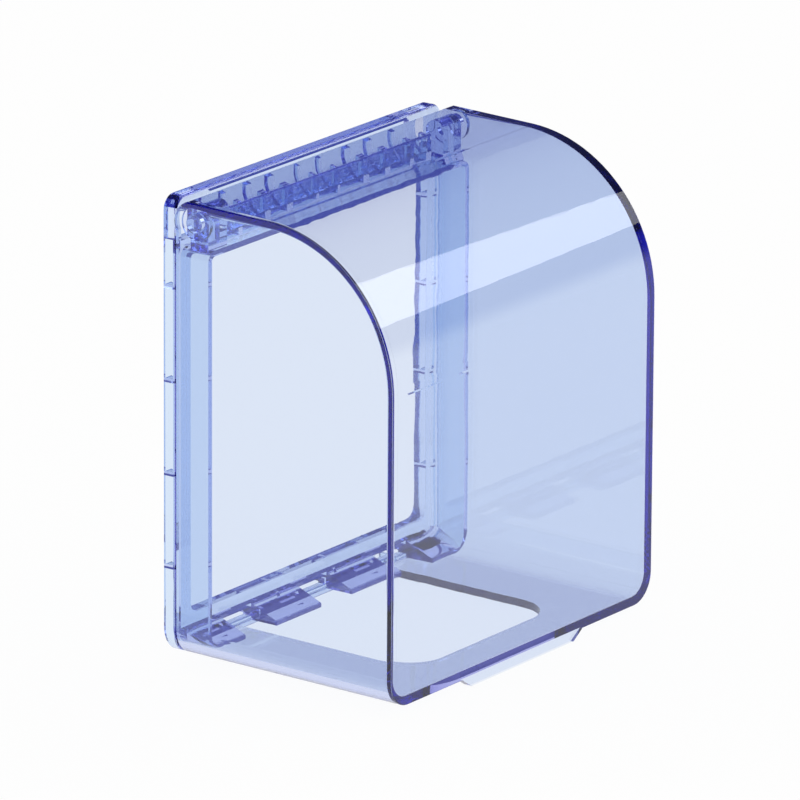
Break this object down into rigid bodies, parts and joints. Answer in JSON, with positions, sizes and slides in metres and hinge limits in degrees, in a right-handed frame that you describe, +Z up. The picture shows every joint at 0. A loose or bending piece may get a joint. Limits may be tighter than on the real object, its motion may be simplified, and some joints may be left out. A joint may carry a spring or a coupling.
{
  "type": "wall socket splash box",
  "caption": "Clear splash box for a wall socket: a back frame with a cover that hinges up, open at the bottom for the leads.",
  "frame": {"origin": "on the wall, in the middle of the frame's top rail", "axes": "+Z up the wall, -Y out of the wall towards the user, +X to the right seen from the front"},
  "size_m": [0.12, 0.0745, 0.1305],
  "materials": {
    "clear_frame": "clear, faint blue-violet tint, polished",
    "clear_cover": "clear, faint blue-violet tint, polished"
  },
  "bodies": {
    "frame": {"back_frame": "clear_frame"},
    "lid": {"cover": "clear_cover"}
  },
  "joints": [
    {"name": "cover_hinge", "type": "hinge", "parent": "frame", "child": "lid", "pos_m": [0, -0.0098, 0.0018], "axis": [-1, 0, 0], "range_deg": [0, 90]}
  ]
}
